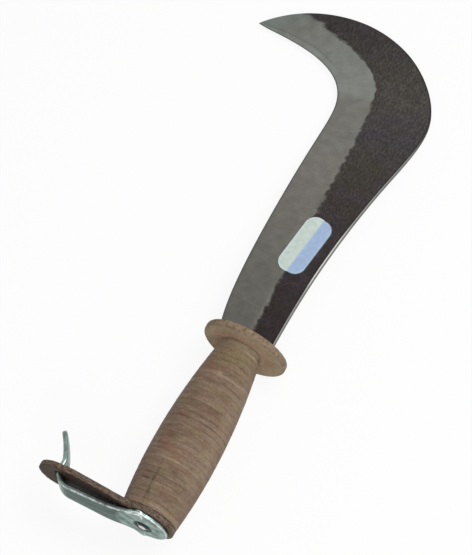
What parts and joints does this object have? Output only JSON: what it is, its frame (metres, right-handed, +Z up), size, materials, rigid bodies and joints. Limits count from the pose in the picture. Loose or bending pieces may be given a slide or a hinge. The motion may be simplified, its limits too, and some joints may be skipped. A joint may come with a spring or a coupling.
{
  "type": "billhook",
  "caption": "Hooked pruning blade with a beak, a full tang through a leather guard and a stacked-leather grip, and a steel belt hook with a leather tongue at the pommel.",
  "frame": {"origin": "on the surface that the tool lies on, under the middle of its overall box", "axes": "+X along the tool towards the blade's crown, +Y from the spine to the cutting edge, +Z up from the surface. The tang's own axis dips 6.45 degrees towards the blade, because the guard is wider than the blade is thick"},
  "size_m": [0.396, 0.1424, 0.0649],
  "materials": {
    "forged_steel": "forge scale on the body, ground grey bevel along the edge",
    "grip_leather": "stacked undyed leather, sanded smooth, mid brown",
    "guard_leather": "thick undyed leather disc, tan, fibrous rim",
    "tongue_leather": "dark brown leather with a paler cut edge",
    "plated_steel": "bright zinc or nickel plate, slightly dull",
    "label_paper": "plain paper sticker, pale mint and pale blue halves, no print"
  },
  "bodies": {
    "root": {"blade_and_tang": "forged_steel", "leather_guard": "guard_leather", "tongue_washer": "tongue_leather", "belt_hook": "plated_steel", "blade_label": "label_paper", "grip_washer_01": "grip_leather", "grip_washer_02": "grip_leather", "grip_washer_03": "grip_leather", "grip_washer_04": "grip_leather", "grip_washer_05": "grip_leather", "grip_washer_06": "grip_leather", "grip_washer_07": "grip_leather", "grip_washer_08": "grip_leather", "grip_washer_09": "grip_leather", "grip_washer_10": "grip_leather", "grip_washer_11": "grip_leather", "grip_washer_12": "grip_leather", "grip_washer_13": "grip_leather", "grip_washer_14": "grip_leather", "grip_washer_15": "grip_leather", "grip_washer_16": "grip_leather", "grip_washer_17": "grip_leather", "grip_washer_18": "grip_leather", "grip_washer_19": "grip_leather", "grip_washer_20": "grip_leather", "grip_washer_21": "grip_leather", "grip_washer_22": "grip_leather", "grip_washer_23": "grip_leather", "grip_washer_24": "grip_leather", "grip_washer_25": "grip_leather", "grip_washer_26": "grip_leather", "grip_washer_27": "grip_leather", "grip_washer_28": "grip_leather", "grip_washer_29": "grip_leather", "grip_washer_30": "grip_leather"}
  },
  "joints": []
}
